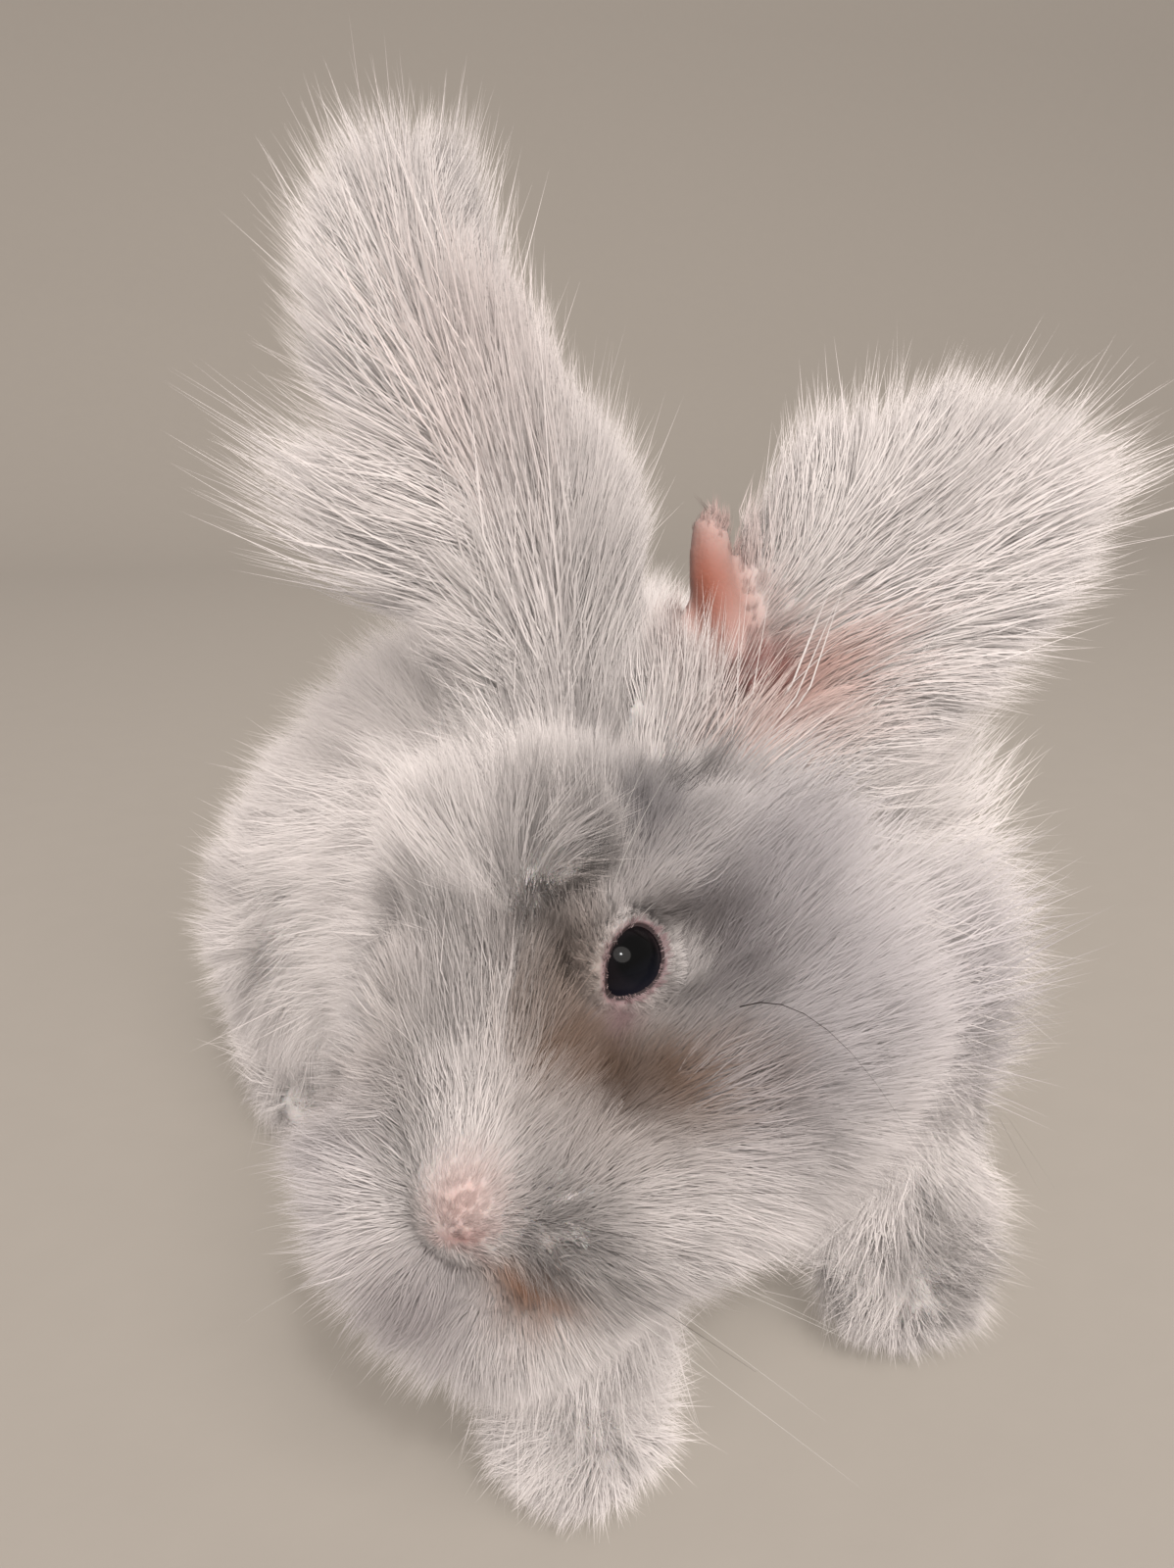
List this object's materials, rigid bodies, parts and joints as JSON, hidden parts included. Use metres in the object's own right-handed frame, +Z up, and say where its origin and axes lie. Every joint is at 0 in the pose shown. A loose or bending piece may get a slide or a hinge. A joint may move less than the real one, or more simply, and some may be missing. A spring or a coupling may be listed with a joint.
{
  "type": "angora rabbit, still life-size model",
  "caption": "Long-haired white angora rabbit, crouched, head turned to its right, one ear up and one laid to the side, grey shading round the eyes.",
  "frame": {"origin": "on the floor under the middle of the outline's box", "axes": "+Z up, the body faces -Y, the rabbit's left is +X, its length runs along Y"},
  "size_m": [0.2169, 0.3155, 0.2542],
  "materials": {
    "wool": "soft white wool, slightly warm",
    "face_fur": "white wool with pale grey-brown shading round the eye",
    "ear_fur": "thin white hair over pink skin",
    "foot_fur": "short dense white fur",
    "eye": "wet, dark slate-blue brown"
  },
  "bodies": {
    "root": {"muzzle": "wool", "lower_jaw": "wool", "head": "face_fur", "eye_left": "eye", "eye_right": "eye", "ear_left": "ear_fur", "ear_tassel_left": "wool", "ear_right": "ear_fur", "ear_tassel_right": "wool", "ear_fringe_right": "wool", "neck": "wool", "chest": "wool", "trunk": "wool", "rump": "wool", "tail": "wool", "forepaw_left": "foot_fur", "foreleg_left": "wool", "hind_foot_left": "foot_fur", "thigh_left": "wool", "forepaw_right": "foot_fur", "foreleg_right": "wool", "hind_foot_right": "foot_fur", "thigh_right": "wool"}
  },
  "joints": []
}
